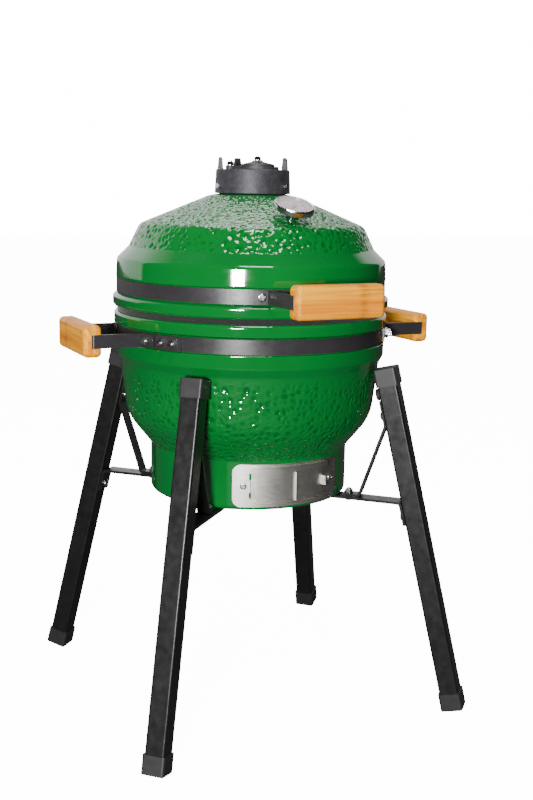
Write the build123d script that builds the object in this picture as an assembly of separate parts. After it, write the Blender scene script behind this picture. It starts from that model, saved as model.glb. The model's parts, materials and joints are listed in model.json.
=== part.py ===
from build123d import *
import math
import os

os.makedirs("parts", exist_ok=True)

# A ceramic kamado grill on a four-legged stand. Millimetres, +Z up, ground at z = 0.
# The ceramic body's axis is Z and its front (draft door, lid handle) faces -Y.

# --- ceramic base
FOOT_Z = 304.0
FOOT_R = 143.5
FOOT_TOP_Z = 373.0
BOWL_TURN_R = 178.2
BOWL_TURN_Z = 416.0
BASE_TOP_Z = 564.5
BASE_RIM_R = 195.8
BAND_SEAT_R = 190.0
BASE_WALL_TOP_R = 173.0

# --- ceramic lid
LID_BOTTOM_Z = 571.5
LID_RIM_R = 197.5
DOME_TURN_R = 159.5
DOME_TURN_Z = 685.5
DOME_TOP_R = 60.0
DOME_TOP_Z = 727.0
NECK_R = 46.0
NECK_HOLE_R = 37.0
NECK_TOP_Z = 749.5

# --- steel bands
BAND_THICK = 2.4
BAND_HEIGHT = 19.4
LID_BAND_Z = 600.5
BASE_BAND_Z = 535.5
BAND_OUT_R = BAND_SEAT_R + BAND_THICK

# --- handles
GRIP_LENGTH = 126.0
GRIP_HEIGHT = 43.0
GRIP_THICK = 25.0
GRIP_R = 255.0
# The lid grip reaches further forward than the feet reach back, so the ceramic axis sits
# this far behind the origin, which is under the middle of the whole grill.
AXIS_Y = 9.2
ARM_THICK = 4.0
ARM_HEIGHT = 18.0
BRACKET_FOOT_END = 24.5
BRACKET_BOLT_AT = 21.0

# --- rear hinge
HINGE_Y = 222.0
HINGE_Z = 568.0
HINGE_PIN_R = 4.0
HINGE_FIT = 0.06

# --- top vent
COLLAR_TOP_R = 52.2
COLLAR_LOW_R = 53.8
COLLAR_Z = 729.0
COLLAR_TOP_Z = 762.5
COLLAR_CEILING_Z = COLLAR_TOP_Z - 8.0
VENT_PORT_R = 26.0
SLIDE_X = 6.0
SLIDE_Y = -3.0
SLIDE_R = 30.0
PIVOT_R = 41.0
PIVOT_AT = -75.0
WHEEL_R = 24.0

# --- thermometer, on the front of the dome
DIAL_TILT = 23.8
DIAL_SEAT_Y = -125.0
DIAL_SEAT_Z = 700.5
BEZEL_R = 28.0

# --- draft door
DOOR_FRAME_HALF = 33.5
DOOR_RAIL_HALF = 22.5
DOOR_PORT_HALF = 18.0
DOOR_LOW_Z = 309.0
DOOR_HIGH_Z = 369.0
DOOR_MID_Z = 339.0
PORT_LOW_Z = 319.0
PORT_HIGH_Z = 358.0

# --- stand
LEG_FOOT_R = 323.0
LEG_TOP_R = 203.0
LEG_FOOT_Z = 3.0
LEG_TOP_Z = 494.0
TUBE = 28.0
TUBE_WALL = 1.5
CAP = 32.0
CAP_LENGTH = 25.6
BAR_WIDTH = 25.0
BAR_THICK = 4.0
BRACE_WIDTH = 18.0
BRACE_THICK = 3.5

LEG_LEAN = math.degrees(math.atan2(LEG_FOOT_R - LEG_TOP_R, LEG_TOP_Z - LEG_FOOT_Z))
LEG_LENGTH = math.hypot(LEG_FOOT_R - LEG_TOP_R, LEG_TOP_Z - LEG_FOOT_Z)
LEG_SLOPE = (LEG_FOOT_R - LEG_TOP_R) / (LEG_TOP_Z - LEG_FOOT_Z)


def save(shape, name):
    solids = shape if isinstance(shape, list) else [shape]
    flat = []
    for item in solids:
        flat.extend((Pos(0, AXIS_Y, 0) * item).solids())
    out = flat[0] if len(flat) == 1 else Compound(children=flat)
    out.label = name
    export_step(out, "parts/" + name + ".step")


def turned(shape, angle):
    """Turn about Z; 0 keeps a piece at the front (-Y) and +90 takes it to +X."""
    return Rot(0, 0, angle) * shape


def ring(r_out, r_in, z_low, z_high):
    height = z_high - z_low
    return Pos(0, 0, (z_low + z_high) / 2) * (Cylinder(r_out, height) - Cylinder(r_in, height))


def disc(radius, z_low, z_high):
    return Pos(0, 0, (z_low + z_high) / 2) * Cylinder(radius, z_high - z_low)


def lathe(corners):
    """Revolve a closed outline about Z; each corner is radius, height and its rounding."""
    points = [(x, z) for x, z, _ in corners]
    radii = [rounding for _, _, rounding in corners]
    outline = Plane.XZ * FilletPolyline(*points, radius=radii, close=True)
    return revolve(make_face(outline), axis=Axis.Z)


def sector(r_in, r_out, z_low, z_high, from_angle, to_angle):
    """Curved plate about Z between two angles, counted from the front towards +X."""
    sweep_angle = to_angle - from_angle
    outer = CenterArc((0, 0), r_out, from_angle - 90, sweep_angle)
    inner = CenterArc((0, 0), r_in, from_angle - 90, sweep_angle)
    sides = [Line(outer @ 0, inner @ 0), Line(outer @ 1, inner @ 1)]
    face = make_face([outer, inner] + sides)
    return extrude(Pos(0, 0, z_low) * face, z_high - z_low)


def peg(radius, r_from, r_to, height, angle):
    """Cylinder lying along a radius of the body."""
    rod = Rot(90, 0, 0) * Cylinder(radius, r_to - r_from)
    return turned(Pos(0, -(r_from + r_to) / 2, height) * rod, angle)


def hex_peg(radius, r_from, r_to, height, angle):
    prism = extrude(RegularPolygon(radius, 6), r_to - r_from)
    return turned(Pos(0, -r_from, height) * Rot(90, 0, 0) * prism, angle)


def strip(points, radii, width_axis, width, thickness):
    """Flat bar bent along a path, its broad face square to the plane of the path."""
    path = FilletPolyline(*points, radius=radii)
    start = Plane(origin=path @ 0, x_dir=width_axis, z_dir=path % 0)
    return sweep(start * Rectangle(width, thickness), path)


def round_box(length, depth, height, corner):
    return fillet(Box(length, depth, height).edges(), corner)


def four_times(shape):
    copies = []
    for corner in range(4):
        copies.append(Rot(0, 0, 45 + 90 * corner) * shape)
    return copies


# ---------------------------------------------------------------- stand

def on_leg(shape):
    """Place a piece on the leg in the +X plane; local Z runs up the leg from its foot."""
    return Pos(LEG_FOOT_R, 0, LEG_FOOT_Z) * Rot(0, -LEG_LEAN, 0) * shape


def leg_r(z, offset):
    """Radius, at height z, of a line parallel to the leg and offset from its centre."""
    return LEG_FOOT_R - (z - LEG_FOOT_Z) * LEG_SLOPE + offset / math.cos(math.radians(LEG_LEAN))


TAB_BOLT = (284.0 - LEG_FOOT_Z) / math.cos(math.radians(LEG_LEAN))
BRACE_BOLT = (428.0 - LEG_FOOT_Z) / math.cos(math.radians(LEG_LEAN))
BRACE_FOOT_R = 156.0


def leg_tube():
    low = 3.0
    high = LEG_LENGTH - 3.0
    outer = Box(TUBE, TUBE, high - low)
    outer = fillet(outer.edges().filter_by(Axis.Z), 3.0)
    inner = Box(TUBE - 2 * TUBE_WALL, TUBE - 2 * TUBE_WALL, high - low)
    inner = fillet(inner.edges().filter_by(Axis.Z), 1.5)
    tube = Pos(0, 0, (low + high) / 2) * (outer - inner)
    for bolt_z in (TAB_BOLT, BRACE_BOLT):
        tube -= Pos(-TUBE / 2, 0, bolt_z) * Rot(0, 90, 0) * Cylinder(3.0, 8)
    return on_leg(tube)


def leg_cap(top):
    shell = Pos(0, 0, CAP_LENGTH / 2) * fillet(Box(CAP, CAP, CAP_LENGTH).edges().filter_by(Axis.Z), 3.5)
    shell = chamfer(shell.faces().sort_by(Axis.Z)[0].edges(), 1.2)
    socket = Box(TUBE, TUBE, CAP_LENGTH - 3.0)
    socket = fillet(socket.edges().filter_by(Axis.Z), 3.0)
    cap = shell - Pos(0, 0, 3.0 + (CAP_LENGTH - 3.0) / 2) * socket
    if top:
        return on_leg(Pos(0, 0, LEG_LENGTH) * Rot(180, 0, 0) * cap)
    cap = on_leg(cap)
    return cap - Pos(LEG_FOOT_R, 0, -10) * Box(100, 100, 20)


def crossbar(dipped):
    mid_z = FOOT_Z - BAR_THICK / 2
    offset = -TUBE / 2 - BAR_THICK / 2
    tip_z = mid_z - 32.0
    right = [(leg_r(mid_z, offset), 0, mid_z), (leg_r(tip_z, offset), 0, tip_z)]
    left = [(-x, y, z) for x, y, z in reversed(right)]
    middle = []
    radii = [5.0, 5.0]
    if dipped:
        low_z = mid_z - BAR_THICK
        middle = [(-34, 0, mid_z), (-20, 0, low_z), (20, 0, low_z), (34, 0, mid_z)]
        radii = [5.0, 6.0, 6.0, 6.0, 6.0, 5.0]
    bar = strip(left + middle + right, radii, (0, 1, 0), BAR_WIDTH, BAR_THICK)
    for side in (0, 180):
        hole = Pos(-TUBE / 2, 0, TAB_BOLT) * Rot(0, 90, 0) * Cylinder(3.0, 14)
        bar -= Rot(0, 0, side) * on_leg(hole)
        bar -= Rot(0, 0, side) * Pos(BRACE_FOOT_R, 0, mid_z) * Cylinder(3.0, 12)
    return bar


def brace():
    offset = -TUBE / 2 - BRACE_THICK / 2
    mid_z = FOOT_Z + BRACE_THICK / 2
    points = [
        (leg_r(446.0, offset), 0, 446.0),
        (leg_r(411.0, offset), 0, 411.0),
        (172.0, 0, mid_z),
        (147.8, 0, mid_z),
    ]
    bar = strip(points, [4.0, 4.0], (0, 1, 0), BRACE_WIDTH, BRACE_THICK)
    bar -= on_leg(Pos(-TUBE / 2, 0, BRACE_BOLT) * Rot(0, 90, 0) * Cylinder(3.0, 14))
    return bar - Pos(BRACE_FOOT_R, 0, mid_z) * Cylinder(3.0, 12)


def button_bolt(local_z, plate):
    """Button-head bolt through a plate into the inner wall of the leg tube."""
    head = Cylinder(6.0, 3.6)
    head = fillet(head.faces().sort_by(Axis.Z)[-1].edges(), 2.6)
    head -= Pos(0, 0, 1.8) * extrude(RegularPolygon(2.3, 6), -2.0)
    bolt = Pos(0, 0, 1.8) * head + Pos(0, 0, -5.0) * Cylinder(3.0, 10.0)
    return on_leg(Pos(-TUBE / 2 - plate, 0, local_z) * Rot(0, -90, 0) * bolt)


def brace_foot_bolt():
    low = FOOT_Z - BAR_THICK
    high = FOOT_Z + BRACE_THICK
    head = Pos(0, 0, low - 1.8) * fillet(Cylinder(6.0, 3.6).faces().sort_by(Axis.Z)[0].edges(), 2.6)
    shank = disc(3.0, low, high + 7.0)
    return Pos(BRACE_FOOT_R, 0, 0) * (head + shank)


def brace_foot_nut():
    low = FOOT_Z + BRACE_THICK
    nut = Pos(0, 0, low) * extrude(RegularPolygon(5.8, 6), 5.0)
    nut = nut - disc(3.0, low, low + 6)
    return Pos(BRACE_FOOT_R, 0, 0) * nut


def bumper():
    pad = fillet(Cylinder(8.5, 6.5).faces().sort_by(Axis.Z)[-1].edges(), 1.5)
    return on_leg(Pos(-TUBE / 2 - 3.25, 0, LEG_LENGTH - CAP_LENGTH - 11.0) * Rot(0, -90, 0) * pad)


leg_names = ["leg_back_right", "leg_back_left", "leg_front_left", "leg_front_right"]
for name, tube in zip(leg_names, four_times(leg_tube())):
    save(tube, name)
save(four_times(leg_cap(False)), "foot_caps")
save(four_times(leg_cap(True)), "leg_top_caps")
save(four_times(bumper()), "bumper_pads")
save(Rot(0, 0, 45) * crossbar(False), "crossbar_upper")
save(Rot(0, 0, 135) * crossbar(True), "crossbar_lower")
save(four_times(brace()), "diagonal_braces")
save(four_times(button_bolt(TAB_BOLT, BAR_THICK)), "crossbar_bolts")
save(four_times(button_bolt(BRACE_BOLT, BRACE_THICK)), "brace_top_bolts")
save(four_times(brace_foot_bolt()), "brace_foot_bolts")
save(four_times(brace_foot_nut()), "brace_foot_nuts")


# ---------------------------------------------------------------- ceramic body

BAND_HALF = BAND_HEIGHT / 2
DOOR_SCREW_AT = 27.5

base_outline = [
    (0, FOOT_Z, 0),
    (FOOT_R, FOOT_Z, 6),
    (FOOT_R, FOOT_TOP_Z, 4),
    (BOWL_TURN_R, BOWL_TURN_Z, 66),
    (187.0, 494.0, 8),
    (193.2, 506.0, 4),
    (193.4, BASE_BAND_Z - BAND_HALF - 1.5, 1),
    (BAND_SEAT_R, BASE_BAND_Z - BAND_HALF - 1.0, 0),
    (BAND_SEAT_R, BASE_BAND_Z + BAND_HALF + 0.8, 0),
    (BASE_RIM_R, BASE_BAND_Z + BAND_HALF + 3.2, 1.5),
    (BASE_RIM_R, BASE_TOP_Z, 4.5),
    (BASE_WALL_TOP_R, BASE_TOP_Z, 3),
    (167.0, 500.0, 20),
    (160.0, 430.0, 50),
    (124.0, 372.0, 12),
    (122.0, 322.0, 3),
    (0, 322.0, 0),
]
ceramic_base = lathe(base_outline)
draft_port = sector(110, 160, PORT_LOW_Z, PORT_HIGH_Z, -DOOR_PORT_HALF + 1, DOOR_PORT_HALF - 1)
ceramic_base -= draft_port
for side in (-1, 1):
    ceramic_base -= peg(2.0, 130.0, 150.0, DOOR_MID_Z, side * DOOR_SCREW_AT)
save(ceramic_base, "ceramic_base")

lid_outline = [
    (177.0, LID_BOTTOM_Z, 3),
    (LID_RIM_R, LID_BOTTOM_Z, 5),
    (LID_RIM_R, LID_BAND_Z - BAND_HALF - 4.5, 3),
    (BAND_SEAT_R, LID_BAND_Z - BAND_HALF - 0.8, 0),
    (BAND_SEAT_R, LID_BAND_Z + BAND_HALF + 0.8, 0),
    (192.9, LID_BAND_Z + BAND_HALF + 1.6, 1),
    (191.6, 638.0, 7),
    (174.6, 654.5, 9),
    (DOME_TURN_R, DOME_TURN_Z, 16),
    (DOME_TOP_R, DOME_TOP_Z, 6),
    (NECK_R, COLLAR_Z, 0),
    (NECK_R, NECK_TOP_Z, 2),
    (NECK_HOLE_R, NECK_TOP_Z, 2),
    (NECK_HOLE_R, 713.5, 3),
    (60.0, 708.5, 5),
    (145.0, 673.5, 16),
    (160.0, 647.0, 9),
    (172.0, 630.0, 9),
]
ceramic_lid = lathe(lid_outline)


def on_dial(shape):
    """Place a piece on the thermometer's axis; local Z leads out of the lid."""
    return Pos(0, DIAL_SEAT_Y, DIAL_SEAT_Z) * Rot(DIAL_TILT, 0, 0) * shape


ceramic_lid -= on_dial(Cylinder(4.6, 80))
save(ceramic_lid, "ceramic_lid")

save(ring(191.0, 177.0, BASE_TOP_Z, BASE_TOP_Z + 3.3), "base_gasket")
save(ring(192.0, 179.0, LID_BOTTOM_Z - 3.3, LID_BOTTOM_Z), "lid_gasket")


# ---------------------------------------------------------------- bands and handles

def band(mid_z):
    return ring(BAND_OUT_R, BAND_SEAT_R, mid_z - BAND_HALF, mid_z + BAND_HALF)


def bracket(mid_z):
    """U bracket for one grip: two feet on the band, two arms, and a bar through the grip."""
    foot_r = BAND_OUT_R + ARM_THICK
    low = mid_z - ARM_HEIGHT / 2
    high = mid_z + ARM_HEIGHT / 2
    arm_out = GRIP_LENGTH / 2
    arm_mid = arm_out - ARM_THICK / 2
    root_angle = math.degrees(math.asin((arm_out - ARM_THICK) / foot_r))
    root_y = math.sqrt(foot_r ** 2 - arm_mid ** 2)
    points = [
        (-arm_mid, -root_y + 3, mid_z),
        (-arm_mid, -GRIP_R, mid_z),
        (arm_mid, -GRIP_R, mid_z),
        (arm_mid, -root_y + 3, mid_z),
    ]
    body = strip(points, [2.1, 2.1], (0, 0, 1), ARM_HEIGHT, ARM_THICK)
    body -= disc(BAND_OUT_R, low - 5, high + 5)
    for side in (-1, 1):
        angles = sorted([side * (root_angle - 0.2), side * BRACKET_FOOT_END])
        foot = sector(BAND_OUT_R, foot_r, low, high, angles[0], angles[1])
        body += foot
        body -= peg(3.0, 180, 210, mid_z, side * BRACKET_BOLT_AT)
    return body


def grip(mid_z):
    wood = Pos(0, -GRIP_R, mid_z) * round_box(GRIP_LENGTH, GRIP_THICK, GRIP_HEIGHT, 7.0)
    arm_out = GRIP_LENGTH / 2
    slot = Box(GRIP_LENGTH + 2, ARM_THICK + 0.1, ARM_HEIGHT + 0.1)
    wood -= Pos(0, -GRIP_R, mid_z) * slot
    for side in (-1, 1):
        recess = Box(ARM_THICK + 4, GRIP_THICK / 2 + ARM_THICK / 2 + 1, ARM_HEIGHT + 0.1)
        x = side * (arm_out - ARM_THICK - 0.1 + (ARM_THICK + 4) / 2)
        wood -= Pos(x, -GRIP_R + GRIP_THICK / 4 - ARM_THICK / 4 + 0.5, mid_z) * recess
    return wood


def foot_bolt(mid_z, angle, outer_r):
    head = peg(5.6, outer_r, outer_r + 3.2, mid_z, angle)
    rims = head.edges().filter_by(GeomType.CIRCLE).sort_by_distance((0, 0, mid_z))
    head = fillet(rims[-1], 2.2)
    return head + peg(3.0, BAND_OUT_R, outer_r, mid_z, angle)


def foot_nut(mid_z, angle, outer_r):
    stud = peg(2.6, BAND_OUT_R, outer_r + 9.5, mid_z, angle)
    return hex_peg(5.5, outer_r, outer_r + 5.0, mid_z, angle) + stud


foot_out_r = BAND_OUT_R + ARM_THICK
save(band(LID_BAND_Z), "lid_band")
save(band(BASE_BAND_Z), "base_band")
save(bracket(LID_BAND_Z), "lid_handle_bracket")
save(grip(LID_BAND_Z), "lid_handle_grip")
lid_bolts = []
for side in (-1, 1):
    lid_bolts.append(foot_bolt(LID_BAND_Z, side * BRACKET_BOLT_AT, foot_out_r))
save(lid_bolts, "lid_handle_bolts")

for side, word in ((-1, "left"), (1, "right")):
    save(turned(bracket(BASE_BAND_Z), side * 90), word + "_handle_bracket")
    save(turned(grip(BASE_BAND_Z), side * 90), word + "_handle_grip")

side_nuts = []
clamp_plates = []
clamp_nuts = []
CLAMP_AT = (28.5, 34.0)
for side in (-1, 1):
    for end in (-1, 1):
        side_nuts.append(foot_nut(BASE_BAND_Z, side * 90 + end * BRACKET_BOLT_AT, foot_out_r))
    inner_edge = side * 90 - side * 25.0
    outer_edge = side * 90 - side * 37.5
    plate = sector(
        BAND_OUT_R,
        BAND_OUT_R + BAND_THICK,
        BASE_BAND_Z - BAND_HALF,
        BASE_BAND_Z + BAND_HALF,
        min(inner_edge, outer_edge),
        max(inner_edge, outer_edge),
    )
    for offset in CLAMP_AT:
        angle = side * 90 - side * offset
        plate -= peg(2.6, 180, 210, BASE_BAND_Z, angle)
        clamp_nuts.append(foot_nut(BASE_BAND_Z, angle, BAND_OUT_R + BAND_THICK))
    clamp_plates.append(plate)
save(side_nuts, "side_handle_nuts")
save(clamp_plates, "band_clamp_plates")
save(clamp_nuts, "band_clamp_nuts")


# ---------------------------------------------------------------- rear hinge

LOWER_HINGE_BOLTS = (-18.5, -6.0, 6.0, 18.5)
UPPER_HINGE_BOLTS = (-5.5, 5.5)
HINGE_PLATE_HALF = 9.0
HINGE_PLATE_OUT_R = BAND_OUT_R + 3.5
EAR_THICK = 4.0
EYE_R = 10.0
SPRING_R = 7.2
SPRING_WIRE_R = 1.4
SPRING_PITCH = 3.0
SPRING_LENGTH = 21.0


def lower_ear(x_from):
    """Flat ear, square to X, from the lower plate to a tight eye round the hinge pin."""
    low = BASE_BAND_Z - HINGE_PLATE_HALF
    high = BASE_BAND_Z + HINGE_PLATE_HALF
    web = Polyline(
        (186.0, low),
        (186.0, high),
        (HINGE_Y - 6, HINGE_Z + 9),
        (HINGE_Y + 8, HINGE_Z + 3),
        (HINGE_Y + 8, HINGE_Z - 3),
        (HINGE_Y - 4, low),
        close=True,
    )
    plate = Pos(x_from, 0, 0) * extrude(Plane.YZ * make_face(web), EAR_THICK)
    pin_line = Pos(x_from + EAR_THICK / 2, HINGE_Y, HINGE_Z) * Rot(0, 90, 0)
    return plate + pin_line * Cylinder(EYE_R, EAR_THICK) - pin_line * Cylinder(HINGE_PIN_R, 10.0)


def upper_ear(x_from):
    """Flat ear, square to X, from the upper plate down to a free eye round the hinge pin."""
    low = LID_BAND_Z - HINGE_PLATE_HALF
    high = LID_BAND_Z + HINGE_PLATE_HALF
    web = Polyline(
        (186.0, low),
        (186.0, high),
        (206.0, high),
        (HINGE_Y + 9.5, HINGE_Z + 2),
        (HINGE_Y - 9.5, HINGE_Z + 2),
        (HINGE_Y - 20.0, low),
        close=True,
    )
    plate = Pos(x_from, 0, 0) * extrude(Plane.YZ * make_face(web), EAR_THICK)
    pin_line = Pos(x_from + EAR_THICK / 2, HINGE_Y, HINGE_Z) * Rot(0, 90, 0)
    bore = Cylinder(HINGE_PIN_R + HINGE_FIT, 10.0)
    return plate + pin_line * Cylinder(EYE_R, EAR_THICK) - pin_line * bore


def hinge_plate(mid_z, half_angle):
    """Curved plate against the back of a band."""
    low = mid_z - HINGE_PLATE_HALF
    high = mid_z + HINGE_PLATE_HALF
    return sector(BAND_OUT_R, HINGE_PLATE_OUT_R, low, high, 180 - half_angle, 180 + half_angle)


def lower_hinge():
    plate = hinge_plate(BASE_BAND_Z, 22)
    lid_room = disc(LID_RIM_R + 1.5, BASE_BAND_Z + HINGE_PLATE_HALF, 600)
    keep_out = disc(BAND_OUT_R, 500, 640) + lid_room
    for x in (-52.0, 48.0):
        plate += lower_ear(x) - keep_out
    for angle in LOWER_HINGE_BOLTS:
        plate -= peg(3.0, 180, 210, BASE_BAND_Z, 180 + angle)
    return plate


def upper_hinge():
    plate = hinge_plate(LID_BAND_Z, 17)
    rim_room = disc(LID_RIM_R + 1.0, 540, LID_BAND_Z - HINGE_PLATE_HALF)
    keep_out = disc(BAND_OUT_R, 500, 640) + rim_room
    for x in (-44.0, 40.0):
        plate += upper_ear(x) - keep_out
    for angle in UPPER_HINGE_BOLTS:
        plate -= peg(3.0, 180, 210, LID_BAND_Z, 180 + angle)
    return plate


def hinge_bolt():
    shank = Rot(0, 90, 0) * Cylinder(HINGE_PIN_R, 112.0)
    head = Pos(-54.5, 0, 0) * Rot(0, 90, 0) * Cylinder(7.0, 5.0)
    nut = Pos(52.0, 0, 0) * Rot(0, 90, 0) * extrude(RegularPolygon(7.2, 6), 6.0)
    return Pos(0, HINGE_Y, HINGE_Z) * (shank + head + nut)


def hinge_spring(x_from):
    """One close-wound coil spring round the hinge bolt."""
    path = Helix(SPRING_PITCH, SPRING_LENGTH, SPRING_R)
    wire = sweep(Plane(origin=path @ 0, z_dir=path % 0) * Circle(SPRING_WIRE_R), path=path, is_frenet=True)
    return Pos(x_from, HINGE_Y, HINGE_Z) * Rot(0, 90, 0) * wire


save(lower_hinge(), "lower_hinge_bracket")
save(upper_hinge(), "upper_hinge_bracket")
save(hinge_bolt(), "hinge_bolt")
save([hinge_spring(-36.0), hinge_spring(15.0)], "hinge_springs")
for word, height, angles in (
    ("lower", BASE_BAND_Z, LOWER_HINGE_BOLTS),
    ("upper", LID_BAND_Z, UPPER_HINGE_BOLTS),
):
    bolts = [foot_bolt(height, 180 + angle, HINGE_PLATE_OUT_R) for angle in angles]
    save(bolts, word + "_hinge_bolts")


# ---------------------------------------------------------------- top vent

def at_angle(radius, angle):
    a = math.radians(angle)
    return radius * math.sin(a), -radius * math.cos(a)


PIVOT_X, PIVOT_Y = at_angle(PIVOT_R, PIVOT_AT)
COLLAR_SCREWS = (-87.0, 33.0, 153.0)
COLLAR_SCREW_Z = COLLAR_Z + 10.5
LUGS = (-118.0, -176.0, 52.0)


def vent_collar():
    outline = [
        (COLLAR_LOW_R, COLLAR_Z, 1),
        (COLLAR_TOP_R, COLLAR_TOP_Z, 1.5),
        (VENT_PORT_R, COLLAR_TOP_Z, 1),
        (VENT_PORT_R, COLLAR_CEILING_Z, 1),
        (NECK_R + 1.6, COLLAR_CEILING_Z, 1),
        (NECK_R + 1.6, COLLAR_Z, 0),
    ]
    collar = lathe(outline)
    for angle in LUGS:
        x, y = at_angle(46.0, angle)
        post = Pos(x, y, COLLAR_TOP_Z - 1) * Rot(0, 0, angle) * extrude(Rectangle(11, 8), 18.0, taper=5)
        post = fillet(post.edges().group_by(Axis.Z)[-1], 1.8)
        collar += post
    boss = Pos(PIVOT_X, PIVOT_Y, COLLAR_TOP_Z - 1) * extrude(Circle(6.5), 1.4)
    collar += boss
    collar -= Pos(PIVOT_X, PIVOT_Y, COLLAR_TOP_Z) * Cylinder(2.5, 30)
    for angle in COLLAR_SCREWS:
        collar -= peg(2.0, 40, 60, COLLAR_SCREW_Z, angle)
    return collar


def collar_screw(angle):
    head = peg(3.6, 53.5, 56.0, COLLAR_SCREW_Z, angle)
    slot = turned(Pos(0, -56.0, COLLAR_SCREW_Z) * Box(1.0, 2.0, 5.5), angle)
    shank = peg(2.0, NECK_R + 0.2, 53.5, COLLAR_SCREW_Z, angle)
    return head - slot + shank


def vent_slide():
    low = COLLAR_TOP_Z + 0.5
    high = low + 4.0
    plate = Pos(SLIDE_X, SLIDE_Y, 0) * disc(SLIDE_R, low, high)
    reach = math.hypot(PIVOT_X - SLIDE_X, PIVOT_Y - SLIDE_Y)
    heading = math.degrees(math.atan2(PIVOT_Y - SLIDE_Y, PIVOT_X - SLIDE_X))
    ear_x = (PIVOT_X + SLIDE_X) / 2
    ear_y = (PIVOT_Y + SLIDE_Y) / 2
    arm = Pos(ear_x, ear_y, (low + high) / 2) * Rot(0, 0, heading) * Box(reach, 13.0, high - low)
    plate = plate + arm + Pos(PIVOT_X, PIVOT_Y, 0) * disc(6.5, low, high)
    plate -= Pos(PIVOT_X, PIVOT_Y, low) * Cylinder(2.5 + HINGE_FIT, 20)
    plate -= Pos(SLIDE_X, SLIDE_Y, low) * Cylinder(2.5, 20)
    for port in range(4):
        x, y = at_angle(14.5, 45 + 90 * port)
        plate -= Pos(SLIDE_X + x, SLIDE_Y + y, low) * Cylinder(6.5, 20)
    return plate


def daisy_wheel():
    low = COLLAR_TOP_Z + 4.9
    outline = [
        (2.5 + HINGE_FIT, low, 0),
        (WHEEL_R, low, 0),
        (WHEEL_R, low + 2.6, 1),
        (9.0, low + 6.2, 6),
        (7.0, low + 7.6, 0.5),
        (2.5 + HINGE_FIT, low + 7.6, 0),
    ]
    wheel = lathe(outline)
    for port in range(4):
        x, y = at_angle(14.5, 90 * port)
        wheel -= Pos(x, y, low) * Cylinder(6.0, 30)
    return Pos(SLIDE_X, SLIDE_Y, 0) * wheel


def vent_bolt(x, y, low, mid, high):
    """Bolt standing up through the vent, with a washer-faced nut at mid height."""
    stud = disc(2.5, low, high)
    nut = Pos(0, 0, mid) * extrude(RegularPolygon(5.0, 6), 4.2)
    washer = disc(6.0, mid - 1.0, mid)
    return Pos(x, y, 0) * (stud + nut + washer)


save(vent_collar(), "vent_collar")
save(ring(NECK_R + 1.6, NECK_R, NECK_TOP_Z - 7.5, NECK_TOP_Z - 1.0), "collar_seal")
save([collar_screw(angle) for angle in COLLAR_SCREWS], "collar_screws")
save(vent_slide(), "vent_slide")
save(daisy_wheel(), "daisy_wheel")
pivot_bolt = vent_bolt(PIVOT_X, PIVOT_Y, COLLAR_TOP_Z - 6.0, COLLAR_TOP_Z + 5.8, COLLAR_TOP_Z + 12.0)
wheel_bolt = vent_bolt(SLIDE_X, SLIDE_Y, COLLAR_TOP_Z - 1.0, COLLAR_TOP_Z + 13.8, COLLAR_TOP_Z + 19.0)
save(pivot_bolt, "vent_pivot_bolt")
save(wheel_bolt, "daisy_bolt")


# ---------------------------------------------------------------- thermometer

def thermometer_case():
    outline = [
        (4.4, 0.2, 0),
        (9.0, 0.2, 0),
        (9.0, 7.0, 1),
        (22.0, 8.0, 2),
        (24.5, 10.5, 2),
        (BEZEL_R, 11.0, 1),
        (BEZEL_R, 17.4, 1.5),
        (25.6, 19.0, 0.6),
        (24.0, 18.6, 0),
        (24.0, 18.0, 0),
        (25.0, 18.0, 0),
        (25.0, 13.0, 0),
        (4.4, 13.0, 0),
    ]
    return on_dial(lathe(outline))


def thermometer_needle():
    outline = Polyline((-1.2, -8.0), (1.2, -8.0), (0.3, 19.0), (-0.3, 19.0), close=True)
    pointer = Pos(0, 0, 14.9) * extrude(make_face(outline), 0.6)
    hub = disc(2.8, 14.6, 15.7)
    bore = disc(1.0 + HINGE_FIT, 14, 16)
    return on_dial(Rot(0, 0, NEEDLE_REST) * (pointer + hub - bore))


NEEDLE_REST = 135.0
dial_plate = disc(24.9, 13.0, 13.8) + disc(1.0, 13.8, 15.9)
lens = disc(24.9, 16.7, 17.9)
lens = fillet(lens.faces().sort_by(Axis.Z)[-1].edges(), 0.5)
stem = disc(4.0, -62.0, 12.9) + disc(2.2, -84.0, -62.0)
inner_nut = Pos(0, 0, -24.0) * extrude(RegularPolygon(9.0, 6), 5.0) + disc(11.0, -19.0, -18.1)
inner_nut -= disc(4.0, -30, -10)
save(thermometer_case(), "thermometer_case")
save(on_dial(dial_plate), "thermometer_dial")
save(on_dial(lens), "thermometer_lens")
save(thermometer_needle(), "thermometer_needle")
save(on_dial(stem), "thermometer_stem")
save(on_dial(inner_nut), "thermometer_nut")


# ---------------------------------------------------------------- draft door

FRAME_IN_R = FOOT_R
FRAME_OUT_R = FOOT_R + 1.2
SHELF_OUT_R = 150.6
LIP_IN_R = 149.6
PANEL_LOW_Z = DOOR_LOW_Z + 4.4
PANEL_HIGH_Z = DOOR_HIGH_Z - 4.4
STOP_HALF = 8.5
STOP_SLOT = 9.0


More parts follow.
